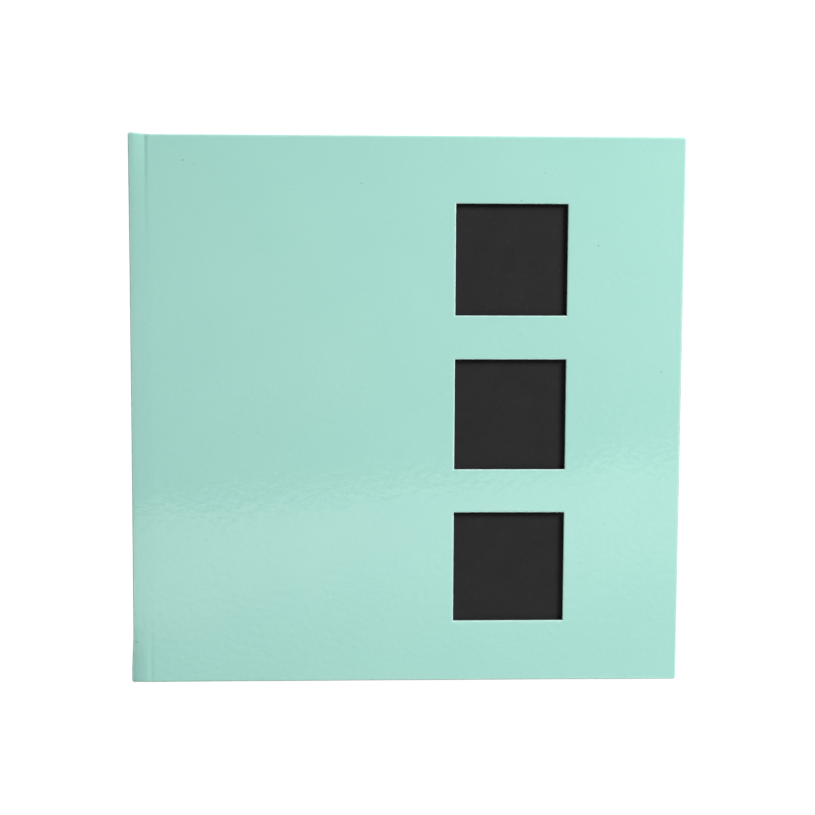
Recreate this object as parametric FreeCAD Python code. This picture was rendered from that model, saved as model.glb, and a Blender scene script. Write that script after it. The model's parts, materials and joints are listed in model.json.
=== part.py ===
import FreeCAD, Part
import os

# Square book-bound scrapbook album, closed and lying on its back cover.
#
# +Z is up out of the front cover, +Y points to the head (the top edge of the cover) and
# the spine runs along the -X side. The origin is the centre of the back cover's outer
# face, so the album stands on Z = 0. All sizes are in millimetres.

# --- driving dimensions ---------------------------------------------------------------
COVER_WIDTH = 251.0          # spine's outer face to fore-edge
COVER_HEIGHT = 250.0         # tail to head
ALBUM_THICKNESS = 27.0       # outer face to outer face

# one printed, laminated sheet covers the boards and the spine
WRAP = 0.25
TURN_IN = 14.0               # how far the wrap is folded over onto the inner face
WRAP_EDGE_RADIUS = 0.5
CORNER_RADIUS = 1.2

# grey boards, the black card behind the windows and the black lining paper
BOARD = 2.1
PASTEDOWN = 0.2
PASTEDOWN_MARGIN = 3.0       # wrap left showing round the pastedown
BACKING_PLAY = 0.2           # round the card that fills the turn-ins' frame

# windows, a column of three squares to the right of the cover's middle
WINDOW_COUNT = 3
WINDOW_SIDE = 50.5
WINDOW_GAP = 20.0
WINDOW_TOP_MARGIN = 30.25
WINDOW_LEFT = 21.7           # from the middle of the cover to the windows' left edge
WINDOW_CORNER_RADIUS = 0.4

# spine and the flexible joints beside it
HINGE_INSET = 2.4            # hinge lines, in from the spine's outer face
HINGE_DEPTH = 2.5            # hinge lines, in from each cover's outer face
JOINT_END = 9.7              # where the boards start, in from the spine's outer face
JOINT_START_PLAY = 0.1
JOINT_SHEET = 0.7            # wrap and hinge cloth glued together
SHOULDER_FOOT = 0.5          # depths of the joint's outer face below the cover's face
SHOULDER_CREST = 0.1
SHOULDER_END = 0.55
GROOVE_FLOOR = 1.35
GROOVE_END = 0.7
CREST_AT = 4.6               # places along the joint, in from the spine's outer face
SHOULDER_END_AT = 6.4
GROOVE_AT = 8.0
SPINE_END_PLAY = 0.1         # spine piece to each hinge line
LINING = 0.12                # kraft lining inside the spine, then the hinge cloth
CLOTH = 0.13
CLOTH_MARGIN = 6.0

# page block
LEAF_COUNT = 20
LEAF = 0.45
LEAF_HEIGHT = 244.0
LEAF_START = 4.0             # bound edge of a leaf's flat part, in from the hinge lines
LEAF_TO_FORE_EDGE = 3.5
GUARD = 0.5                  # folded strip that spaces the leaves apart
GUARD_WIDTH = 12.0
FLYLEAF = 0.25
LEAF_GAP = 0.08

# woven bands at the two ends of the page block's back
BAND_RADIUS = 0.6
BAND_SHORTER_BY = 3.0
BAND_STAND_OFF = 0.7         # centre of the bead beyond the leaves' ends
BAND_SKIRT = 0.15
BAND_SKIRT_LENGTH = 8.0

# --- sizes that follow ----------------------------------------------------------------
HALF_WIDTH = COVER_WIDTH / 2
HALF_HEIGHT = COVER_HEIGHT / 2
SPINE_FACE = -HALF_WIDTH
HINGE_X = SPINE_FACE + HINGE_INSET
BOARD_X = SPINE_FACE + JOINT_END
COVER_CORE = WRAP + BOARD            # depth of the board's inner face
TURN_IN_FACE = COVER_CORE + WRAP
COVER_THICKNESS = TURN_IN_FACE + PASTEDOWN
SPINE_LOW = HINGE_DEPTH + SPINE_END_PLAY
SPINE_HIGH = ALBUM_THICKNESS - SPINE_LOW
LEAF_X = HINGE_X + LEAF_START
FORE_X = HALF_WIDTH - LEAF_TO_FORE_EDGE
HALF_LEAF = LEAF_HEIGHT / 2
LEAF_PITCH = GUARD + LEAF + LEAF_GAP
BLOCK_THICKNESS = 2 * (FLYLEAF + LEAF_GAP) + LEAF_COUNT * LEAF_PITCH - LEAF_GAP
BLOCK_LOW = (ALBUM_THICKNESS - BLOCK_THICKNESS) / 2
CUT = 1.0                            # how far cutting tools run past what they cut


def block(x0, x1, half_y, z0, z1):
    """A box from x0 to x1 and z0 to z1, centred on Y = 0."""
    corner = FreeCAD.Vector(x0, -half_y, z0)
    return Part.makeBox(x1 - x0, 2 * half_y, z1 - z0, corner)


def at_depth(front, outer, inner):
    """Heights of two depths below a cover's outer face, lowest first."""
    if front:
        return ALBUM_THICKNESS - inner, ALBUM_THICKNESS - outer
    return outer, inner


def upright_edges(shape, x_at_least):
    """The solid's vertical edges whose X is at least the given one."""
    found = []
    for edge in shape.Edges:
        low, high = edge.BoundBox.ZMin, edge.BoundBox.ZMax
        straight_up = edge.BoundBox.XLength < 1e-6 and edge.BoundBox.YLength < 1e-6
        if straight_up and high - low > 1e-6 and edge.BoundBox.XMin >= x_at_least:
            found.append(edge)
    return found


def window_holes(margin, z0, z1):
    """Three square holes, each side grown by margin, from z0 to z1."""
    side = WINDOW_SIDE + 2 * margin
    radius = WINDOW_CORNER_RADIUS + margin
    holes = []
    for number in range(WINDOW_COUNT):
        top = HALF_HEIGHT - WINDOW_TOP_MARGIN - number * (WINDOW_SIDE + WINDOW_GAP)
        corner = FreeCAD.Vector(WINDOW_LEFT - margin, top - WINDOW_SIDE - margin, z0)
        hole = Part.makeBox(side, side, z1 - z0, corner)
        holes.append(hole.makeFillet(radius, upright_edges(hole, 0)))
    return holes


def outer_rim(shape, front):
    """Edges of a cover's outer face along its head, tail and fore-edge."""
    face_z = ALBUM_THICKNESS if front else 0.0
    found = []
    for edge in shape.Edges:
        box = edge.BoundBox
        in_face = abs(box.ZMin - face_z) < 1e-6 and abs(box.ZMax - face_z) < 1e-6
        at_end = abs(box.YMin) > HALF_HEIGHT - CORNER_RADIUS - 1e-6
        at_end = at_end and abs(box.YMax) > HALF_HEIGHT - CORNER_RADIUS - 1e-6
        at_end = at_end and box.YMin * box.YMax > 0
        if in_face and (at_end or box.XMin > HALF_WIDTH - 1e-6):
            found.append(edge)
    return found


def cover_board(front):
    """Grey board inside one cover."""
    low, high = at_depth(front, WRAP, COVER_CORE)
    board = block(BOARD_X, HALF_WIDTH - WRAP, HALF_HEIGHT - WRAP, low, high)
    board = board.makeFillet(CORNER_RADIUS - WRAP, upright_edges(board, 0))
    if front:
        board = board.cut(window_holes(WRAP, low - CUT, high + CUT))
    return board


def cover_wrap(front):
    """Laminated sheet over one board, with its turn-ins and the windows' linings."""
    low, high = at_depth(front, 0, TURN_IN_FACE)
    wrap = block(BOARD_X, HALF_WIDTH, HALF_HEIGHT, low, high)
    wrap = wrap.makeFillet(CORNER_RADIUS, upright_edges(wrap, 0))
    wrap = wrap.makeFillet(WRAP_EDGE_RADIUS, outer_rim(wrap, front))
    core_low, core_high = at_depth(front, COVER_CORE, TURN_IN_FACE + CUT)
    recess = block(BOARD_X - CUT, HALF_WIDTH - TURN_IN, HALF_HEIGHT - TURN_IN, core_low, core_high)
    wrap = wrap.cut([cover_board(front), recess])
    if front:
        wrap = wrap.cut(window_holes(0, low - CUT, high + CUT))
    return wrap


def window_backing():
    """Black card behind the windows, inside the frame of the turn-ins."""
    low, high = at_depth(True, COVER_CORE, TURN_IN_FACE)
    inset = TURN_IN + BACKING_PLAY
    return block(BOARD_X, HALF_WIDTH - inset, HALF_HEIGHT - inset, low, high)


def pastedown(front):
    """Black lining paper on a cover's inner face."""
    low, high = at_depth(front, TURN_IN_FACE, COVER_THICKNESS)
    inset = PASTEDOWN_MARGIN
    return block(BOARD_X, HALF_WIDTH - inset, HALF_HEIGHT - inset, low, high)


def joint_strip(front):
    """Flexible strip between spine and board: a low shoulder, then the French groove."""
    def point(distance, depth):
        height = ALBUM_THICKNESS - depth if front else depth
        return FreeCAD.Vector(SPINE_FACE + distance, -HALF_HEIGHT, height)

    def outline(extra):
        shoulder = Part.Arc(
            point(HINGE_INSET + JOINT_START_PLAY, SHOULDER_FOOT + extra),
            point(CREST_AT, SHOULDER_CREST + extra),
            point(SHOULDER_END_AT, SHOULDER_END + extra),
        )
        groove = Part.Arc(
            point(SHOULDER_END_AT, SHOULDER_END + extra),
            point(GROOVE_AT, GROOVE_FLOOR + extra),
            point(JOINT_END, GROOVE_END + extra),
        )
        return shoulder.toShape(), groove.toShape()

    outer = outline(0)
    inner = outline(JOINT_SHEET)
    start = Part.makeLine(
        point(HINGE_INSET + JOINT_START_PLAY, SHOULDER_FOOT),
        point(HINGE_INSET + JOINT_START_PLAY, SHOULDER_FOOT + JOINT_SHEET),
    )
    end = Part.makeLine(
        point(JOINT_END, GROOVE_END),
        point(JOINT_END, GROOVE_END + JOINT_SHEET),
    )
    wire = Part.Wire(Part.__sortEdges__([start, *inner, end, *outer]))
    return Part.Face(wire).extrude(FreeCAD.Vector(0, COVER_HEIGHT, 0))


def spine_board():
    """Stiff strip inside the spine."""
    inner_x = SPINE_FACE + WRAP + BOARD
    return block(SPINE_FACE + WRAP, inner_x, HALF_HEIGHT - WRAP, SPINE_LOW + WRAP, SPINE_HIGH - WRAP)


def spine_wrap():
    """Laminated sheet round the spine board, open on the page side."""
    outer = block(SPINE_FACE, SPINE_FACE + WRAP + BOARD, HALF_HEIGHT, SPINE_LOW, SPINE_HIGH)
    return outer.cut(spine_board())


def spine_layer(start, thickness, margin):
    """A thin strip glued inside the spine, start away from the spine board."""
    x0 = SPINE_FACE + WRAP + BOARD + start
    return block(x0, x0 + thickness, HALF_HEIGHT - margin, SPINE_LOW + WRAP, SPINE_HIGH - WRAP)


def end_band(side):
    """Woven band at the head (side = 1) or the tail (side = -1) of the page block."""
    cloth_x = SPINE_FACE + WRAP + BOARD + LINING + CLOTH
    low = SPINE_LOW + BAND_SHORTER_BY
    length = SPINE_HIGH - BAND_SHORTER_BY - low
    bead_y = side * (HALF_LEAF + BAND_STAND_OFF)
    centre = FreeCAD.Vector(cloth_x + BAND_RADIUS, bead_y, low)
    bead = Part.makeCylinder(BAND_RADIUS, length, centre, FreeCAD.Vector(0, 0, 1))
    start_y = min(bead_y, bead_y - side * BAND_SKIRT_LENGTH)
    corner = FreeCAD.Vector(cloth_x, start_y, low)
    skirt = Part.makeBox(BAND_SKIRT, BAND_SKIRT_LENGTH, length, corner)
    return bead.fuse(skirt).removeSplitter()


def sheet(low, thickness):
    """A full-size page or flyleaf."""
    return block(LEAF_X, FORE_X, HALF_LEAF, low, low + thickness)


def leaf_and_guard(number):
    """Leaf number 1 is the first under the front cover.

    The guard lies on the side of the nearer cover, so the middle opening is clear.
    """
    low = BLOCK_LOW + FLYLEAF + LEAF_GAP + (LEAF_COUNT - number) * LEAF_PITCH
    in_front_half = number <= LEAF_COUNT // 2
    leaf_low = low if in_front_half else low + GUARD
    guard_low = low + LEAF if in_front_half else low
    guard = block(LEAF_X, LEAF_X + GUARD_WIDTH, HALF_LEAF, guard_low, guard_low + GUARD)
    return sheet(leaf_low, LEAF), guard


def build():
    """Every piece of the album, by node name."""
    nodes = {}
    for cover, front in (("back", False), ("front", True)):
        nodes[cover + "_board"] = cover_board(front)
        nodes[cover + "_cover_wrap"] = cover_wrap(front)
        nodes[cover + "_joint_strip"] = joint_strip(front)
        nodes[cover + "_pastedown"] = pastedown(front)
    nodes["window_backing"] = window_backing()
    nodes["spine_board"] = spine_board()
    nodes["spine_wrap"] = spine_wrap()
    nodes["spine_lining"] = spine_layer(0, LINING, WRAP)
    nodes["hinge_cloth"] = spine_layer(LINING, CLOTH, CLOTH_MARGIN)
    nodes["head_band"] = end_band(1)
    nodes["tail_band"] = end_band(-1)
    nodes["back_flyleaf"] = sheet(BLOCK_LOW, FLYLEAF)
    nodes["front_flyleaf"] = sheet(ALBUM_THICKNESS - BLOCK_LOW - FLYLEAF, FLYLEAF)
    for number in range(1, LEAF_COUNT + 1):
        leaf, guard = leaf_and_guard(number)
        nodes["leaf_%02d" % number] = leaf
        nodes["guard_%02d" % number] = guard
    return nodes


os.makedirs("parts", exist_ok=True)
for name, shape in build().items():
    shape.exportStep("parts/" + name + ".step")
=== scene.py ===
"""Looks of the square scrapbook album: laminated cover, windows, pages, light and camera."""

import json
import math

import bpy
import numpy as np
from mathutils import Matrix, Vector


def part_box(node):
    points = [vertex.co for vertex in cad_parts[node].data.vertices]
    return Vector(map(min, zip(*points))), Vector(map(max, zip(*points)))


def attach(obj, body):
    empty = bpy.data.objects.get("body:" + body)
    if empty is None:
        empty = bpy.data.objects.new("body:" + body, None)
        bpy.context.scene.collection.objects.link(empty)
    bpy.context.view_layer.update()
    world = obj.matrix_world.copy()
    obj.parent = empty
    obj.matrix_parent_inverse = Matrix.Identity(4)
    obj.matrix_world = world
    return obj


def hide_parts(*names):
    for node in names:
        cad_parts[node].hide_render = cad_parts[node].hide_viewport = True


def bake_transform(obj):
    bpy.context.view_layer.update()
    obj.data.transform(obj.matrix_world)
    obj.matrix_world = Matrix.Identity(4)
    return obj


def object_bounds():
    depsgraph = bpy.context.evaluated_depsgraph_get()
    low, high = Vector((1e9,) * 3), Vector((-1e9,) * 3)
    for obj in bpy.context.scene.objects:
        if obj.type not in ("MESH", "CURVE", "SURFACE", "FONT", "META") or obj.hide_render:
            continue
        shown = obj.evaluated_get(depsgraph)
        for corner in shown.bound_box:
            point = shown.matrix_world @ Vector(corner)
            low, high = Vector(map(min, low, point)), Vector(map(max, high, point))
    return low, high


MM = 0.001

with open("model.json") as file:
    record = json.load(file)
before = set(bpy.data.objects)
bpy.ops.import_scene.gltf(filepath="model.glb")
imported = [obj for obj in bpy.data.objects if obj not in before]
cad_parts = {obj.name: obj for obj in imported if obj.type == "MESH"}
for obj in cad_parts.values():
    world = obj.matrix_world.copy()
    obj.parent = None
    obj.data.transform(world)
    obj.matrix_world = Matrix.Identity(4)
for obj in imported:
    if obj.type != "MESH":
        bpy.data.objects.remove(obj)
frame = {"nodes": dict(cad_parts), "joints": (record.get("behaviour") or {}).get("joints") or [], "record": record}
cad_low, cad_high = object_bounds()

# --- places that come from the CAD frame, in metres -----------------------------------
SPINE_X, FORE_X = cad_low.x, cad_high.x
HEAD_Y = cad_high.y
THICKNESS = cad_high.z
MIDDLE_Z = THICKNESS / 2
BOARD_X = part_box("front_board")[0].x
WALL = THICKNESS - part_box("front_pastedown")[1].z    # outer face to the pastedown
WINDOW_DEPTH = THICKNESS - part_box("window_backing")[1].z
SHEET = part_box("front_board")[0].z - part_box("window_backing")[0].z   # wrap's thickness
LEAF_COUNT = sum(name.startswith("leaf_") for name in frame["nodes"])
LEAF_FORE_X, LEAF_HEAD_Y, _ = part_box("leaf_01")[1]
JOINTS = {joint["name"]: joint for joint in frame["joints"]}
FRONT_HINGE = Vector(JOINTS["front_cover_opening"]["pos_m"])
HINGE_X = FRONT_HINGE.x
OPENING_MARGIN = 0.5 * MM        # the stated openings are this much inside the windows
SPINEWARD = 0.2 * MM             # each window's left edge is cut this much wider


def window_squares():
    """(low x, high x, low y, high y) of each window."""
    squares = []
    for opening in frame["record"]["physics"]["openings"]:
        low, high = opening["box_m"]
        square = (low[0], high[0], low[1], high[1])
        outward = (-OPENING_MARGIN - SPINEWARD, OPENING_MARGIN, -OPENING_MARGIN, OPENING_MARGIN)
        squares.append([edge + move for edge, move in zip(square, outward)])
    return squares


# --- shapes ---------------------------------------------------------------------------
def smoothstep(low, high, value):
    """0 at low, 1 at high, level at both."""
    t = np.clip((np.asarray(value, float) - low) / (high - low), 0, 1)
    return t * t * (3 - 2 * t)


def runs(*stops):
    """Grid lines: (value, steps to the next value) pairs, then the last value."""
    lines = []
    for (value, steps), following in zip(stops[:-1], stops[1:]):
        end = following[0] if isinstance(following, tuple) else following
        lines.extend(value + (end - value) * k / steps for k in range(steps))
    lines.append(stops[-1])
    return np.array(lines)


def grid_normals(points):
    """Unit normals of a grid of points, from its neighbours."""
    along_u = np.gradient(points, axis=0)
    along_v = np.gradient(points, axis=1)
    normals = np.cross(along_u, along_v)
    length = np.linalg.norm(normals, axis=2, keepdims=True)
    return normals / np.maximum(length, 1e-12)


def slab(name, outer, inner, uv, keep=None, edge=None):
    """A closed sheet between two grids of points. keep says which cells exist.

    uv holds each point's place on the flat sheet, in metres, and edge how near it is to
    a rubbed or cut edge, from 0 to 1; round the windows it also marks a painted highlight.
    """
    rows, columns = outer.shape[:2]
    count = rows * columns
    index = np.arange(count).reshape(rows, columns)
    if keep is None:
        keep = np.ones((rows - 1, columns - 1), bool)
    faces = []
    for i, j in zip(*np.nonzero(keep)):
        a, b = index[i, j], index[i + 1, j]
        c, d = index[i + 1, j + 1], index[i, j + 1]
        faces.append((a, b, c, d))
        faces.append((d + count, c + count, b + count, a + count))
        sides = ((a, b, i, j - 1), (b, c, i + 1, j), (c, d, i, j + 1), (d, a, i - 1, j))
        for here, there, next_i, next_j in sides:
            inside = 0 <= next_i < rows - 1 and 0 <= next_j < columns - 1
            if not (inside and keep[next_i, next_j]):
                faces.append((there, here, here + count, there + count))
    points = np.concatenate([outer.reshape(-1, 3), inner.reshape(-1, 3)])
    used = np.zeros(2 * count, bool)
    used[np.array(faces).ravel()] = True
    renumber = np.cumsum(used) - 1
    mesh = bpy.data.meshes.new(name)
    mesh.from_pydata(points[used].tolist(), [], [tuple(renumber[list(f)].tolist()) for f in faces])
    flat = np.concatenate([uv.reshape(-1, 2)] * 2)[used]
    layer = mesh.uv_layers.new(name="flat")
    corners = np.zeros(len(mesh.loops), int)
    mesh.loops.foreach_get("vertex_index", corners)
    layer.data.foreach_set("uv", flat[corners].ravel())
    near_edge = np.zeros((rows, columns)) if edge is None else edge
    wear_and_highlight = mesh.attributes.new("edge", "FLOAT", "POINT")
    wear_and_highlight.data.foreach_set("value", np.concatenate([near_edge.ravel()] * 2)[used].astype(np.float32))
    mesh.update()
    piece = bpy.data.objects.new(name, mesh)
    bpy.context.scene.collection.objects.link(piece)
    shade_by_angle(piece)
    return piece


def shade_by_angle(piece, degrees=40):
    """Smooth shading, with an edge wherever two faces meet more sharply than that."""
    mesh = piece.data
    mesh.polygons.foreach_set("use_smooth", [True] * len(mesh.polygons))
    mesh.set_sharp_from_angle(angle=math.radians(degrees))


# --- the laminated case ---------------------------------------------------------------
RIM_RADIUS = 0.75 * MM           # folded edges at head, tail and fore-edge
CORNER = 1.3 * MM                # the cover's corners, seen from the front
INNER_RADIUS = 0.45 * MM         # folded edges, at the inner face
RETURN = 0.5 * MM                # sheet seen on the inner face before the turn-ins start
TURN_IN = 14 * MM                # how far the sheet is folded over onto the inner face
TURN_IN_START = INNER_RADIUS + RETURN + 0.03 * MM
WINDOW_RADIUS = 0.5 * MM         # the sheet's turn down into a window
WINDOW_WALL = 0.05 * MM          # the window's wall, seen from the front
SPINE_RADIUS = 0.6 * MM
BOARD_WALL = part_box("spine_board")[1].x - SPINE_X
JOINT_SHEET = 2.0 * MM           # folded sheets at the joint's two ends
RIM_DEEPENS = (8.6 * MM, 10.2 * MM)   # where the joint's folded edge deepens to the board's
JOINT_GRID_END = 14 * MM         # where the joint's fine grid lines stop, from the spine's face
CELL = 9 * MM                    # longest step between the cover's grid lines
FILLED = 0.96                    # modelled part of a sheet's thickness, so that layers stay apart
TURN_IN_FILLED = 0.9
RIM_STEP = 0.4 * MM              # length on the flat sheet of one step round a folded edge
FOLD_WEAR = 0.7                  # paleness of the spine's rubbed folds; the windows' edges have 1, partly rubbing and partly painted highlight

# The joint's surface beside the spine, as slopes in degrees at distances in mm from the
# spine's face. A positive slope rises towards the board.
SHOULDER = ((0.6, 10), (1.4, 3.5), (2.6, 1.9), (5.5, 1.8), (7.5, 1.3), (9.5, 0.9), (10.5, 0))
HEAD_SHOULDER = ((0.6, 0), (2.4, 0), (3.2, -8), (6.8, -8), (7.6, 0))
HEAD_GROOVE = (
    (6.7, 0), (6.9, -5), (7.3, -5), (7.7, 12), (8.5, 12), (8.9, 0), (9.4, -3), (10.3, 0),
)
FOOT_CRUSH = (
    (0.6, 11), (2.5, 8), (5.0, 6), (6.4, 2), (7.1, -4), (8.0, -5), (8.6, 5), (9.3, 5), (9.7, 0),
)
HEAD_GROOVE_FADE = 26            # in mm: how soon each of them fades out away from its end
HEAD_SHOULDER_FADE = 14
FOOT_CRUSH_FADE = 14
FOOT_CRUSH_LEVEL = 4             # in mm: full depth up to here from the foot
HEAD_BULGE = 0.7 * MM            # the spine's head end stands proud of the boards
FOOT_FLARE = 0.75 * MM           # the spine's foot is splayed outwards
HOLLOW = 0.2 * MM                # the sides draw in this much half way along
SPINE_REACH = 11                 # in mm: how far from a side its changes of shape go
SIDE_REACH = 9


def climb(slopes, distance):
    """How far a surface with these slopes lies below its last point."""
    at, degrees = np.array(slopes).T
    fine = np.linspace(at[0], at[-1], 400)
    rise = np.tan(np.radians(np.interp(fine, at, degrees)))
    below = np.concatenate([[0], np.cumsum((rise[1:] + rise[:-1]) / 2 * np.diff(fine))])
    return np.interp(distance / MM, fine, below[-1] - below) * MM


def shoulder_drop(distance, y):
    """How far the joint's surface lies below the cover's face.

    Its shoulder slopes gently down to the spine. It is pinched into a groove near the
    head, and its foot is crushed towards the spine.
    """
    from_head = (HEAD_Y - y) / MM
    from_foot = (HEAD_Y + y) / MM
    past_level = np.maximum(from_foot - FOOT_CRUSH_LEVEL, 0)
    drop = climb(SHOULDER, distance)
    drop = drop + climb(HEAD_SHOULDER, distance) * np.exp(-from_head / HEAD_SHOULDER_FADE)
    drop = drop + climb(HEAD_GROOVE, distance) * np.exp(-from_head / HEAD_GROOVE_FADE)
    return drop + climb(FOOT_CRUSH, distance) * np.exp(-(past_level / FOOT_CRUSH_FADE) ** 2)


def handled(points):
    """The points with the spine's head pulled out, its foot splayed and the sides hollow."""
    distance = (points[:, :, 0] - SPINE_X) / MM
    near_spine = 1 - smoothstep(0, SPINE_REACH, distance)
    from_head = (HEAD_Y - points[:, :, 1]) / MM
    from_foot = (HEAD_Y + points[:, :, 1]) / MM
    near_fore_edge = 1 - smoothstep(0, SIDE_REACH, (FORE_X - points[:, :, 0]) / MM)
    near_foot = 1 - smoothstep(0, SIDE_REACH, from_foot)
    half_way_up = 1 - (points[:, :, 1] / HEAD_Y) ** 2
    half_way_along = 1 - (points[:, :, 0] / FORE_X) ** 2
    moved = points.copy()
    moved[:, :, 0] += HOLLOW * half_way_up * (near_spine - near_fore_edge)
    moved[:, :, 1] += HOLLOW * half_way_along * near_foot
    moved[:, :, 0] -= FOOT_FLARE * near_spine * (1 - smoothstep(4, 24, from_foot))
    moved[:, :, 1] += HEAD_BULGE * near_spine * (1 - smoothstep(1, 9, from_head))
    return moved


def window_drop(x, y):
    """Depth below the face in and round the windows, and the distance inside one."""
    drop = np.zeros(np.broadcast(x, y).shape)
    deepest = np.full(drop.shape, -1.0)
    for x0, x1, y0, y1 in window_squares():
        outside = np.hypot(
            np.maximum(np.maximum(x0 - x, x - x1), 0), np.maximum(np.maximum(y0 - y, y - y1), 0)
        )
        inside = np.minimum(np.minimum(x - x0, x1 - x), np.minimum(y - y0, y1 - y))
        d = np.where(inside >= 0, 0, outside)
        rounded = WINDOW_RADIUS - np.sqrt(
            np.maximum(WINDOW_RADIUS ** 2 - np.maximum(WINDOW_RADIUS - d, 0) ** 2, 0)
        )
        wall = WINDOW_RADIUS + (WINDOW_DEPTH - WINDOW_RADIUS) * np.clip(inside / WINDOW_WALL, 0, 1)
        here = np.where(inside > 0, wall, np.where(d < WINDOW_RADIUS, rounded, 0))
        drop = np.maximum(drop, here)
        deepest = np.maximum(deepest, inside)
    return drop, deepest


def edge_lines(value, outward):
    """Grid lines round a window's edge: its rounding on one side, its wall on the other."""
    rounding = [WINDOW_RADIUS * (1 - math.sin(math.radians(a))) for a in (0, 20, 40, 60, 75, 90)]
    wall = [WINDOW_WALL * k / 3 for k in (1, 2, 3)]
    lines = [value + outward * r for r in rounding] + [value - outward * w for w in wall]
    return sorted(lines + [value + outward * 1.2 * MM])


def fill(lines, longest):
    """The lines, with more between any two that are further apart than longest."""
    lines = sorted(set(round(float(v), 8) for v in lines))
    full = [lines[0]]
    for value in lines[1:]:
        steps = max(1, math.ceil((value - full[-1]) / longest))
        start = full[-1]
        full.extend(start + (value - start) * k / steps for k in range(1, steps + 1))
    return np.array(full)


def joint_wall(distance, drop):
    """The folded edge's height at a distance from the spine, where the sheet has dropped."""
    on_board = smoothstep(*RIM_DEEPENS, distance)
    return JOINT_SHEET + (WALL - JOINT_SHEET - drop) * on_board


def rim_path(wall):
    """The folded edge as steps of (length along the sheet, outward offset, drop).

    It starts where the edge's rounding starts, goes down the wall and returns under it.
    """
    steps = []
    flat = CORNER - RIM_RADIUS
    for angle in np.radians([0, 15, 30, 45, 60, 75, 90]):
        steps.append((flat + RIM_RADIUS * math.sin(angle), RIM_RADIUS * (1 - math.cos(angle))))
    for angle in np.radians([0, 30, 60, 90]):
        inward = INNER_RADIUS * (1 - math.cos(angle))
        steps.append((CORNER - inward, wall - INNER_RADIUS * (1 - math.sin(angle))))
    steps.append((CORNER - INNER_RADIUS - RETURN, wall))
    offsets = np.array([0.0] + [s[0] for s in steps])
    drops = np.array([0.0] + [s[1] for s in steps])
    return offsets, drops


def case_lines(front):
    """The sheet's grid lines: along x on the spine, its fold, the joint and the board; along y."""
    spine = np.linspace(0, 1, 6)[:-1]
    fold = np.radians(np.linspace(180, 90, 8))
    joint = runs((SPINE_RADIUS, 22), (11.5 * MM, 2), JOINT_GRID_END)[1:]
    board = [SPINE_X + JOINT_GRID_END, FORE_X - CORNER]
    inner_head = HEAD_Y - CORNER
    ys = [-inner_head, inner_head]
    ys += [side * (HEAD_Y - v * MM) for side in (-1, 1) for v in (3, 6, 10, 15, 20, 30, 45, 60)]
    if front:
        for x0, x1, y0, y1 in window_squares():
            board += edge_lines(x0, -1) + edge_lines(x1, 1)
            ys += edge_lines(y0, -1) + edge_lines(y1, 1)
    return spine, fold, joint, fill(board, CELL)[1:], fill(ys, CELL)


def cross_section(spine, fold, joint, board, y):
    """(place, normal, wall's height) at each grid line from the spine to the fore-edge."""
    corner_z = THICKNESS - float(shoulder_drop(SPINE_RADIUS, y)) - SPINE_RADIUS
    up = np.array([0.0, 1.0])
    section = []
    for share in spine:
        place = np.array([SPINE_X, MIDDLE_Z + share * (corner_z - MIDDLE_Z)])
        section.append((place, np.array([-1.0, 0.0]), BOARD_WALL))
    for step, angle in enumerate(fold):
        normal = np.array([math.cos(angle), math.sin(angle)])
        place = np.array([SPINE_X + SPINE_RADIUS, corner_z]) + SPINE_RADIUS * normal
        wall = BOARD_WALL + (JOINT_SHEET - BOARD_WALL) * step / (len(fold) - 1)
        section.append((place, normal, wall))
    for distance in joint:
        drop = float(shoulder_drop(distance, y))
        place = np.array([SPINE_X + distance, THICKNESS - drop])
        section.append((place, up, float(joint_wall(distance, drop))))
    section.extend((np.array([x, THICKNESS]), up, WALL) for x in board)
    return section


def round_the_rim(place, normal, wall, u_steps, v_steps):
    """(x, how far out along y, z) of a point that many steps past the grid's last lines."""
    steps = max(u_steps, v_steps)
    if u_steps >= v_steps:
        turn = math.pi / 4 * v_steps / max(u_steps, 1)
    else:
        turn = math.pi / 2 - math.pi / 4 * u_steps / v_steps
    offsets, drops = rim_path(wall)
    out_x = offsets[steps] * math.cos(turn) if u_steps else 0.0
    out_y = offsets[steps] * math.sin(turn) if v_steps else 0.0
    x, z = place - normal * drops[steps]
    return x + out_x, out_y, z


def cut_windows(points, wear_and_highlight):
    """Turn the sheet down into the windows. Returns how far inside one each point is, or -1."""
    board = points[:, :, 0] > BOARD_X + 5 * MM
    on_face = board & (points[:, :, 2] > THICKNESS - 1e-7)
    drop, deepest = window_drop(points[:, :, 0], points[:, :, 1])
    points[:, :, 2] -= np.where(on_face, drop, 0)
    # pale rims round the windows: partly a rubbed fold, partly a painted highlight of the rounded edge
    wear_and_highlight[on_face & (drop > 0.01 * MM) & (drop < WINDOW_RADIUS + 0.1 * MM)] = 1
    return np.where(board, deepest, -1)


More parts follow.
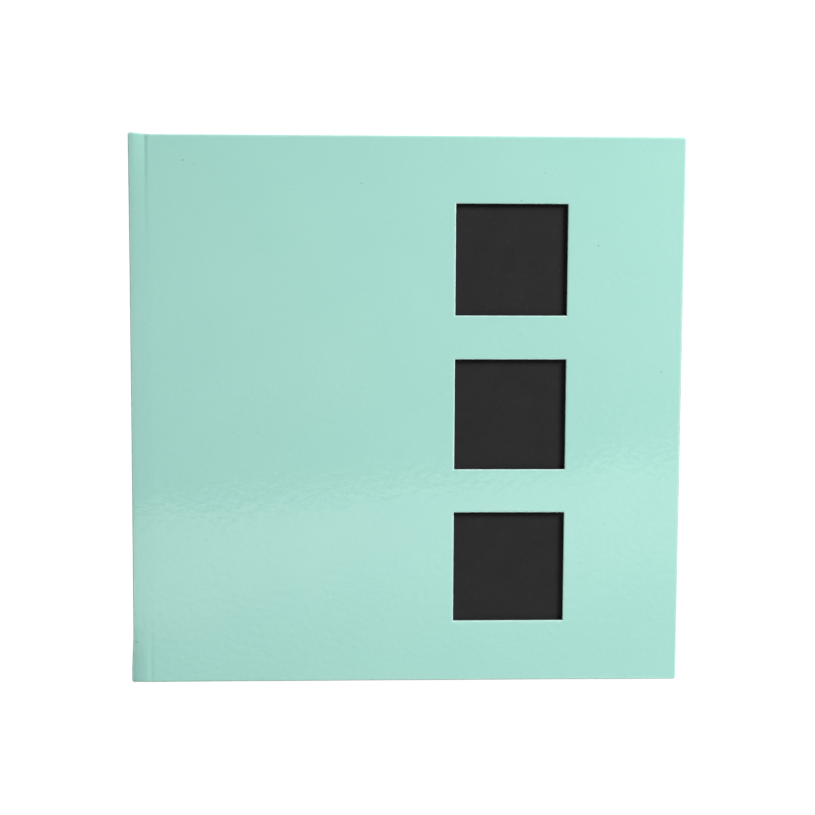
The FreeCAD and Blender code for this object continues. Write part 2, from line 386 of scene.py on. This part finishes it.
def case_half(name, front):
    """One cover's laminated sheet, from the middle of the spine to the fore-edge."""
    *across, ys = case_lines(front)
    fold_start = len(across[0])
    fold_end = fold_start + len(across[1])
    rim_steps = len(rim_path(WALL)[0]) - 1
    last_u = sum(len(lines) for lines in across) - 1
    last_v = len(ys) - 1
    shape = (last_u + 1 + rim_steps, last_v + 1 + 2 * rim_steps)
    points = np.zeros((*shape, 3))
    uv = np.zeros((*shape, 2))
    wear_and_highlight = np.zeros(shape)
    wear_and_highlight[fold_start:fold_end] = FOLD_WEAR
    for j in range(shape[1]):
        v = j - rim_steps
        y = ys[min(max(v, 0), last_v)]
        side = 1 if v > last_v else -1
        v_steps = max(v - last_v, -v, 0)
        section = cross_section(*across, y)
        for i in range(shape[0]):
            u_steps = max(i - last_u, 0)
            place, normal, wall = section[min(i, last_u)]
            x, out_y, z = round_the_rim(place, normal, wall, u_steps, v_steps)
            points[i, j] = (x, y + side * out_y, z)
            flat_x = max(u_steps, v_steps) * RIM_STEP if u_steps else 0
            uv[i, j] = (place[0] + flat_x, y + side * v_steps * RIM_STEP)

    inside = cut_windows(points, wear_and_highlight) if front else np.full(shape, -1.0)
    points = handled(points)
    inner = points - grid_normals(points) * SHEET * FILLED
    if not front:
        points[:, :, 2] = THICKNESS - points[:, :, 2]
        inner[:, :, 2] = THICKNESS - inner[:, :, 2]
        points, inner = inner, points
    centre = (inside[:-1, :-1] + inside[1:, :-1] + inside[:-1, 1:] + inside[1:, 1:]) / 4
    wrap = slab(name, points, inner, uv, centre < 0, wear_and_highlight)
    linings = []
    if front:
        wall = (centre > 0) & (centre < WINDOW_WALL * 0.99)
        openings = frame["record"]["physics"]["openings"]
        for (_, _, y0, y1), opening in zip(window_squares(), openings):
            here = (points[:-1, :-1, 1] > y0 - 2 * MM) & (points[:-1, :-1, 1] < y1 + 2 * MM)
            linings.append(slab(opening["name"] + "_lining", points, inner, uv, wall & here))
    return wrap, linings


def turn_ins(name, front):
    """The wrap folded over onto a cover's inner face: three strips mitred at the corners."""
    outer_x, outer_y = FORE_X - TURN_IN_START, HEAD_Y - TURN_IN_START
    inner_x, inner_y = FORE_X - TURN_IN, HEAD_Y - TURN_IN
    left = BOARD_X + 0.2 * MM
    z = THICKNESS - WALL
    strips = (
        ((left, outer_y), (outer_x, outer_y), (inner_x, inner_y), (left, inner_y)),
        ((outer_x, -outer_y), (left, -outer_y), (left, -inner_y), (inner_x, -inner_y)),
        ((outer_x, outer_y), (outer_x, -outer_y), (inner_x, -inner_y), (inner_x, inner_y)),
    )
    made = []
    for number, (a, b, c, d) in enumerate(strips):
        t = np.linspace(0, 1, 24)[:, None, None]
        s = np.linspace(0, 1, 5)[None, :, None]
        a, b, c, d = (np.array(p) for p in (a, b, c, d))
        flat = (a * (1 - t) + b * t) * (1 - s) + (d * (1 - t) + c * t) * s
        low = np.dstack([flat, np.full(flat.shape[:2], z if front else THICKNESS - z)])
        high = low.copy()
        high[:, :, 2] += (1 if front else -1) * SHEET * TURN_IN_FILLED
        faces = (high, low) if front else (low, high)
        made.append(slab("%s_%d" % (name, number + 1), *faces, flat))
    return made


def joint_turn_ins(name, front):
    """The wrap's turned-in edge across the joint at head and foot, outside the pages."""
    made = []
    for number, side in enumerate((1, -1)):
        x = np.linspace(SPINE_X + BOARD_WALL, BOARD_X + 0.4 * MM, 22)
        y = side * np.linspace(HEAD_Y - TURN_IN_START, LEAF_HEAD_Y + 0.3 * MM, 4)
        x, y = np.meshgrid(x, y, indexing="ij")
        drop = np.vectorize(shoulder_drop)(x - SPINE_X, y)
        depth = drop + joint_wall(x - SPINE_X, drop)
        low = np.dstack([x, y, THICKNESS - depth])
        high = np.dstack([x, y, THICKNESS - depth + SHEET * TURN_IN_FILLED])
        if not front:
            low[:, :, 2], high[:, :, 2] = THICKNESS - low[:, :, 2], THICKNESS - high[:, :, 2]
        faces = (high, low) if front == (side < 0) else (low, high)
        made.append(slab("%s_%d" % (name, number + 1), *faces, np.dstack([x, y])))
    return made


# --- pages ----------------------------------------------------------------------------
BOUND_X = HINGE_X + 0.45 * MM    # where the sheets are glued to the hinge cloth
SCORE_AT = 19 * MM               # crease that lets a leaf turn, from the hinge line
SCORE_DEPTH = 0.07 * MM
SCORE_HALF_WIDTH = 0.3 * MM
BENDING = 34                     # 1 mm steps of a sheet's grid from its glued edge
GOLDEN_ANGLE = 2.399             # turns the waves of following sheets well apart


def page_wave(x, y, seed, reach):
    """A sheet's slight unevenness: nothing at the bound edge, reach at the fore-edge."""
    grow = smoothstep(HINGE_X + 18 * MM, HINGE_X + 90 * MM, x)
    phase = GOLDEN_ANGLE * seed
    wave = 0.5 * np.sin(14 * x + phase) * np.cos(17 * y + 1.7 * phase)
    wave = wave + 0.5 * np.sin(31 * y + 9 * x + 2.3 * phase)
    return reach * grow * wave


def page(name, z0, z1, seed, reach, right=LEAF_FORE_X, half_y=LEAF_HEAD_Y, score=False):
    """A leaf, flyleaf, lining paper or guard as a finely divided sheet."""
    near = [BOUND_X + k * MM for k in range(BENDING)]
    score_x = HINGE_X + SCORE_AT
    creases = [score_x + k * 0.2 * MM for k in range(-4, 5)] if score else []
    lines = [v for v in near + creases if v < right - 0.5 * MM] + [right]
    xs = fill(lines, 11 * MM)
    ys = np.linspace(-half_y, half_y, 15)
    x, y = np.meshgrid(xs, ys, indexing="ij")
    lift = page_wave(x, y, seed, reach)
    if score:
        lift = lift - SCORE_DEPTH * np.exp(-(((x - score_x) / SCORE_HALF_WIDTH) ** 2))
    top = np.dstack([x, y, z1 + lift])
    bottom = np.dstack([x, y, z0 + lift])
    near_edge = np.zeros(x.shape)
    near_edge[-1, :] = 1
    near_edge[:, 0] = 1
    near_edge[:, -1] = 1
    return slab(name, top, bottom, np.dstack([x, y]), None, near_edge)


def bend_with(piece):
    """Bakes the sheet's placement into its mesh; the sheet is neither turned nor attached to a body.
    """
    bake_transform(piece)


def add_pages():
    """Leaves, the guard strips between them at the bound edge, and the flyleaves."""
    for number in range(1, LEAF_COUNT + 1):
        body = "leaf_%02d" % number
        guard_node = "guard_%02d" % number
        low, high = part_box(body)
        leaf = page("page_%02d" % number, low.z, high.z, number, 0.25 * MM, score=True)
        bend_with(leaf)
        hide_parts(body)
        leaf.data.materials.append(MATERIALS["page_card"])
        low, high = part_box(guard_node)
        strip = page("guard_strip_%02d" % number, low.z, high.z, number, 0, right=high.x)
        bend_with(strip)
        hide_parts(guard_node)
        strip.data.materials.append(MATERIALS["page_card"])
    for side in ("front", "back"):
        node = side + "_flyleaf"
        low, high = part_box(node)
        fly = page(side + "_endpaper", low.z, high.z, 31, 0.03 * MM)
        bend_with(fly)
        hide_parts(node)
        fly.data.materials.append(MATERIALS["lining_paper"])


def add_pastedown(side):
    """Black lining paper on a cover's inner face, glued on over the joint to the spine."""
    node = side + "_pastedown"
    low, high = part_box(node)
    lining = page(side + "_lining", low.z, high.z, 41, 0, right=high.x, half_y=high.y)
    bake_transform(lining)
    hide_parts(node)
    lining.data.materials.append(MATERIALS["lining_paper"])


def add_case():
    """Both covers' laminated sheets, their turned-in edges, window linings and pastedowns."""
    for side, front in (("front", True), ("back", False)):
        body = side + "_cover"
        wrap, linings = case_half(side + "_wrap", front)
        for lining in linings:
            # the walls' lining material carries painted shade as well as black paper
            lining.data.materials.append(MATERIALS["window_lining"])
            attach(lining, body)
        joint_strips = joint_turn_ins(side + "_joint_turn_in", front)
        for sheet in [wrap] + joint_strips:
            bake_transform(sheet)
        nodes = [side + "_cover_wrap", side + "_joint_strip"]
        nodes += ["spine_wrap"] if front else []
        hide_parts(*nodes)
        wrap.data.materials.append(MATERIALS["cover_laminate"])
        strips = turn_ins(side + "_turn_in", front)
        for strip in strips:
            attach(strip, body)
        for strip in strips + joint_strips:
            strip.data.materials.append(MATERIALS["cover_laminate"])
        add_pastedown(side)


def band_bead(name, low, high, centre_y):
    """A round bead along z, wound with thread."""
    turns = 26
    radius = (high.x - low.x) / 2
    centre_x = low.x + radius
    angles = np.linspace(0, 2 * math.pi, 21)
    a, z = np.meshgrid(angles, np.linspace(low.z, high.z, turns * 8 + 1), indexing="ij")
    along = (z - low.z) / (high.z - low.z)
    rib = 1 - 0.16 * (0.5 + 0.5 * np.cos(2 * math.pi * (turns * along + a / (2 * math.pi))))
    rib = rib * np.sqrt(np.clip(1 - np.abs(2 * along - 1) ** 24, 0.05, 1))

    def tube(r):
        return np.dstack([centre_x + r * np.cos(a), centre_y + r * np.sin(a), z])

    return slab(name, tube(radius * rib), tube(radius * 0.3), np.dstack([a * radius, z]))


def band_skirt(name, low, high, centre_y, side):
    """The band's flat cloth, which runs from the bead down behind the pages."""
    ys = np.linspace(*sorted((centre_y, centre_y - side * 8 * MM)), 9)
    y, z = np.meshgrid(ys, np.linspace(low.z, high.z, 17), indexing="ij")
    front = np.dstack([np.full(y.shape, low.x + 0.15 * MM), y, z])
    back = np.dstack([np.full(y.shape, low.x), y, z])
    return slab(name, front, back, np.dstack([y, z]))


def add_bands():
    """Woven bands at head and tail: a corded bead on a cloth skirt."""
    for node, side in (("head_band", 1), ("tail_band", -1)):
        low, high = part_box(node)
        radius = (high.x - low.x) / 2
        centre_y = (high.y - radius) if side > 0 else (low.y + radius)
        bead = band_bead(node + "_bead", low, high, centre_y)
        skirt = band_skirt(node + "_skirt", low, high, centre_y, side)
        for piece in (bead, skirt):
            piece.data.materials.append(MATERIALS["band_cloth"])
            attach(piece, "spine")
        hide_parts(node)


# --- materials ------------------------------------------------------------------------
def linear(red, green, blue):
    """A screen colour, 0 to 255, as a linear one."""
    channels = []
    for value in (red, green, blue):
        v = value / 255
        channels.append(v / 12.92 if v <= 0.04045 else ((v + 0.055) / 1.055) ** 2.4)
    return (*channels, 1.0)


class Nodes:
    """Shader nodes in one node tree."""

    def __init__(self, tree):
        self.tree = tree

    def set(self, socket, value):
        """Link a socket to another node's output, or give it a constant."""
        if isinstance(value, bpy.types.NodeSocket):
            self.tree.links.new(value, socket)
        else:
            socket.default_value = value

    def add(self, kind, inputs, **settings):
        node = self.tree.nodes.new("ShaderNode" + kind)
        for key, value in settings.items():
            setattr(node, key, value)
        for key, value in inputs.items():
            self.set(node.inputs[key], value)
        return node

    def place(self, on_flat):
        """Texture coordinates in metres: on the flat sheet, or in space."""
        if on_flat:
            return self.add("UVMap", {}, uv_map="flat").outputs["UV"]
        return self.add("TexCoord", {}).outputs["Object"]

    def edge(self):
        """How near a point is to a rubbed or cut edge, from 0 to 1; round the windows it also marks a painted
        highlight.
        """
        return self.add("Attribute", {}, attribute_name="edge").outputs["Fac"]

    def stretched(self, place, scale):
        return self.add("Mapping", {"Vector": place, "Scale": scale}).outputs["Vector"]

    def noise(self, place, scale, detail=2.0, roughness=0.5):
        settings = {"Vector": place, "Scale": scale, "Detail": detail, "Roughness": roughness}
        return self.add("TexNoise", settings).outputs["Fac"]

    def spread(self, value, start, end, at_start=0.0, at_end=1.0, smooth=False):
        """at_start where the value is start or beyond it, at_end where it is end."""
        node = self.add("MapRange", {"Value": value, "From Min": start, "From Max": end})
        node.inputs["To Min"].default_value = at_start
        node.inputs["To Max"].default_value = at_end
        if smooth:
            node.interpolation_type = "SMOOTHSTEP"
        return node.outputs["Result"]

    def math(self, operation, *values):
        return self.add("Math", dict(enumerate(values)), operation=operation).outputs[0]

    def choose(self, factor, a, b):
        """The number a where factor is 0, b where it is 1."""
        return self.add("Mix", {"Factor": factor, "A": a, "B": b}).outputs["Result"]

    def mix(self, factor, a, b):
        """A colour between a and b."""
        return self.add("Mix", {0: factor, 6: a, 7: b}, data_type="RGBA").outputs[2]

    def bump(self, height, distance, below=None):
        inputs = {"Height": height, "Distance": distance, "Strength": 1.0}
        if below is not None:
            inputs["Normal"] = below
        return self.add("Bump", inputs).outputs["Normal"]


class Look(Nodes):
    """A material under construction."""

    def __init__(self, name, color, **values):
        self.material = bpy.data.materials.new(name)
        self.material.use_nodes = True
        super().__init__(self.material.node_tree)
        self.shader = self.tree.nodes["Principled BSDF"]
        self.use(Base_Color=color, **values)

    def use(self, **sockets):
        """Set the shader's sockets, whose names have _ for a space. Returns the material."""
        for key, value in sockets.items():
            self.set(self.shader.inputs[key.replace("_", " ")], value)
        return self.material


def laminate():
    """Glossy film over printed paper: orange peel, faint waves, specks, pale rubbed folds on the spine and a
    painted highlight round the windows.
    """
    look = Look("cover laminate", linear(160, 212, 201), Roughness=0.5)
    look.use(Coat_Weight=1.0, Coat_Roughness=0.035, Coat_IOR=1.5)
    place = look.place(True)
    mottle = look.spread(look.noise(place, 28, 4.0), 0.3, 0.7)
    color = look.mix(mottle, linear(158, 212, 200), linear(161, 214, 202))
    fine = look.spread(look.noise(place, 900, 2.0), 0.35, 0.65)
    color = look.mix(look.math("MULTIPLY", fine, 0.1), color, linear(174, 223, 212))
    specks = look.spread(look.noise(place, 400, 0.0), 0.87, 0.89)
    color = look.mix(look.math("MULTIPLY", specks, 0.38), color, linear(96, 140, 128))
    # pale rims: rubbing on the spine's folds, and a painted highlight round the windows' rounded edges
    wear_and_highlight_mask = look.math("MULTIPLY", look.edge(), look.spread(look.noise(place, 260, 3.0), 0.2, 0.6))
    color = look.mix(look.math("MULTIPLY", wear_and_highlight_mask, 0.5), color, linear(222, 243, 237))
    waves = look.bump(look.noise(place, 16, 1.0), 0.12 * MM)
    peel = look.bump(look.noise(place, 300, 2.0, 0.55), 0.07 * MM, waves)
    return look.use(Base_Color=color, Normal=peel, Coat_Normal=peel)


def black_card(name, on_flat, tone=(33, 33, 35)):
    """Black paper with a felt texture, short pale fibres and paler cut edges."""
    base = linear(*tone)
    look = Look(name, base, Roughness=0.86, Sheen_Weight=0.06, Sheen_Roughness=0.5)
    look.use(Specular_IOR_Level=0.3)
    place = look.place(on_flat)
    cloudy = look.spread(look.noise(place, 90, 5.0, 0.6), 0.3, 0.7)
    paler = linear(*(value + 5 for value in tone))
    color = look.mix(cloudy, base, paler)
    fibres = look.noise(look.stretched(place, (1.0, 0.22, 1.0)), 1500, 3.0, 0.7)
    pale = look.math("MULTIPLY", look.spread(fibres, 0.6, 0.75), 0.3)
    color = look.mix(pale, color, linear(72, 71, 72))
    if on_flat:
        color = look.mix(look.math("MULTIPLY", look.edge(), 0.35), color, linear(66, 65, 66))
    felt = look.bump(look.noise(place, 1100, 4.0, 0.65), 0.05 * MM)
    grain = look.bump(fibres, 0.02 * MM, felt)
    return look.use(Base_Color=color, Normal=grain)


def grey_board():
    """Pressed grey board with darker flecks."""
    look = Look("grey board", linear(168, 163, 154), Roughness=0.9)
    place = look.place(False)
    flecks = look.spread(look.noise(place, 1800, 3.0), 0.55, 0.7)
    color = look.mix(flecks, linear(170, 165, 156), linear(120, 115, 108))
    return look.use(Base_Color=color, Normal=look.bump(look.noise(place, 900, 3.0), 0.05 * MM))


def kraft_paper():
    """Brown lining paper with fine ribs along its length."""
    look = Look("kraft paper", linear(176, 142, 104), Roughness=0.85)
    place = look.place(False)
    ribs = look.noise(look.stretched(place, (1.0, 0.08, 1.0)), 1600, 2.0)
    color = look.mix(ribs, linear(166, 132, 95), linear(188, 155, 117))
    return look.use(Base_Color=color, Normal=look.bump(ribs, 0.03 * MM))


def woven_cloth(name, tone, on_flat, pitch):
    """Plain weave: threads over and under at the given pitch, with fuzz."""
    look = Look(name, linear(*tone), Roughness=0.9, Sheen_Weight=0.2)
    place = look.place(on_flat)
    threads = {"Vector": place, "Scale": 1 / (pitch * 2 * math.pi)}
    warp = look.add("TexWave", threads, bands_direction="X")
    weft = look.add("TexWave", threads, bands_direction="Y")
    weave = look.math("MAXIMUM", warp.outputs["Fac"], weft.outputs["Fac"])
    darker = linear(*(value * 0.7 for value in tone))
    color = look.mix(weave, darker, linear(*tone))
    fuzz = look.bump(look.noise(place, 3000, 3.0), 0.03 * MM)
    return look.use(Base_Color=color, Normal=look.bump(weave, 0.1 * MM, fuzz))


MATERIALS = {
    "cover_laminate": laminate(),
    "page_card": black_card("page card", True),
    "lining_paper": black_card("lining paper", True, (35, 35, 37)),
    "window_card": black_card("window card", False, (25.5, 25.5, 27.5)),
    # black lining of the windows' walls, toned much darker than the other black paper: painted shade on the walls
    "window_lining": black_card("window lining", True, (12, 12, 13)),
    "grey_board": grey_board(),
    "kraft_paper": kraft_paper(),
    "hinge_cloth": woven_cloth("hinge cloth", (226, 222, 208), False, 0.9 * MM),
    "band_cloth": woven_cloth("band cloth", (224, 224, 218), True, 0.5 * MM),
}

ON_CAD_NODES = {
    "front_board": "grey_board",
    "back_board": "grey_board",
    "spine_board": "grey_board",
    "window_backing": "window_card",
    "spine_lining": "kraft_paper",
    "hinge_cloth": "hinge_cloth",
}


def finish_cad_nodes():
    """Materials for the pieces that are shown as the CAD has them."""
    for node, material in ON_CAD_NODES.items():
        mesh = frame["nodes"][node].data
        mesh.materials.clear()
        mesh.materials.append(MATERIALS[material])


# --- floor, light and camera ----------------------------------------------------------
def four_corners(name, corners):
    """One four-sided face."""
    mesh = bpy.data.meshes.new(name)
    mesh.from_pydata([tuple(corner) for corner in corners], [], [(0, 1, 2, 3)])
    face = bpy.data.objects.new(name, mesh)
    bpy.context.scene.collection.objects.link(face)
    return face


def add_floor():
    """A plain, evenly lit white table, which throws no diffuse light back on the album."""
    z = -0.2 * MM
    floor = four_corners("floor", [(-4, -4, z), (4, -4, z), (4, 4, z), (-4, 4, z)])
    look = Look("floor", (0.05, 0.05, 0.05, 1), Roughness=0.9)
    white = look.use(Emission_Color=(1, 1, 1, 1), Emission_Strength=1.0)
    floor.data.materials.append(white)
    floor.visible_diffuse = False


def add_panel(name, place, aim, side, radiance):
    """A soft square light of the given brightness, turned towards aim."""
    data = bpy.data.lights.new(name, "AREA")
    data.shape = "RECTANGLE"
    data.size = data.size_y = side
    data.energy = radiance * math.pi * side * side
    light = bpy.data.objects.new(name, data)
    bpy.context.scene.collection.objects.link(light)
    turn = (place - aim).to_track_quat("Z", "Y").to_matrix()
    light.matrix_world = Matrix.Translation(place) @ turn.to_4x4()


def add_reflector():
    """A dim white panel over the cover, which shows in the film's gloss.

    Its foot half ends in one crisp edge and fades out away from it; its head half is fainter.
    """
    height = THICKNESS + 0.87
    edge = [Vector((-0.90, -0.258, height)), Vector((1.10, -0.064, height))]
    half = Vector((0.0, 0.40, 0.0))
    corners = [edge[0] - half, edge[1] - half, edge[1] + half, edge[0] + half]
    panel = four_corners("reflector", corners)
    layer = panel.data.uv_layers.new(name="flat")
    layer.data.foreach_set("uv", [0, -1, 1, -1, 1, 1, 0, 1])
    panel.visible_camera = False
    panel.visible_shadow = False
    look = Look("reflector", (0, 0, 0, 1), Roughness=1.0)
    across = look.add("SeparateXYZ", {"Vector": look.place(True)}).outputs["Y"]
    foot = look.spread(across, -0.465, -0.09, 0.0, 1.55, smooth=True)
    near = look.spread(across, 0.0, 0.35, 0.15, 0.42, smooth=True)
    far = look.spread(across, 0.4, 0.95, 1.0, 0.0, smooth=True)
    crisp = look.spread(across, -0.0001, 0.0001, smooth=True)
    glow = look.choose(crisp, foot, look.math("MULTIPLY", near, far))
    panel.data.materials.append(look.use(Emission_Color=(1, 1, 1, 1), Emission_Strength=glow))


def add_world():
    """White surround for the camera; the album gets light from below, most on its spine."""
    world = bpy.data.worlds.new("studio")
    world.use_nodes = True
    nodes = Nodes(world.node_tree)
    direction = nodes.add("TexCoord", {}).outputs["Generated"]
    height = nodes.add("SeparateXYZ", {"Vector": direction}).outputs["Z"]
    below = nodes.spread(height, -0.05, 0.05, 1.0, 0.0)
    brightest = (-0.74, -0.45, -0.50)
    towards = nodes.add("VectorMath", {0: direction, 1: brightest}, operation="DOT_PRODUCT")
    side = nodes.spread(towards.outputs["Value"], 0.0, 0.9, 0.5, 2.0)
    ambient = nodes.math("MULTIPLY_ADD", below, side, 0.05)
    seen = nodes.add("LightPath", {}).outputs["Is Camera Ray"]
    background = world.node_tree.nodes["Background"]
    nodes.set(background.inputs["Color"], (1, 1, 1, 1))
    nodes.set(background.inputs["Strength"], nodes.choose(seen, ambient, 1.0))
    bpy.context.scene.world = world


def add_light():
    """A soft key light from the head and fore-edge, and a weaker one from the foot."""
    aim = Vector((0, 0, THICKNESS))
    key_distance = 1.9
    key = aim + Vector((1.15, 1.1, 1.0)).normalized() * key_distance
    add_panel("key", key, aim, 0.75, 30.1)
    add_panel("foot_fill", aim + Vector((0.10, -0.45, 0.45)), aim, 0.3, 3.5)
    add_reflector()


def add_camera():
    """85 mm lens above the cover, a little to the left of its middle and towards the head."""
    data = bpy.data.cameras.new("camera")
    data.lens = 85.0
    data.sensor_width = 36.0
    camera = bpy.data.objects.new("camera", data)
    bpy.context.scene.collection.objects.link(camera)
    right = Vector((0.9990, 0.0050, 0.0444)).normalized()
    back = Vector((-0.0447, 0.1119, 0.9927)).normalized()
    up = back.cross(right).normalized()
    right = up.cross(back)
    turn = Matrix((right, up, back)).transposed()
    place = Vector((-0.0392, 0.1004, THICKNESS + 0.8701))
    camera.matrix_world = Matrix.Translation(place) @ turn.to_4x4()
    bpy.context.scene.camera = camera


bpy.context.scene.view_settings.view_transform = "Standard"
add_case()
add_pages()
add_bands()
finish_cad_nodes()
add_floor()
add_world()
add_light()
add_camera()

bpy.context.view_layer.update()
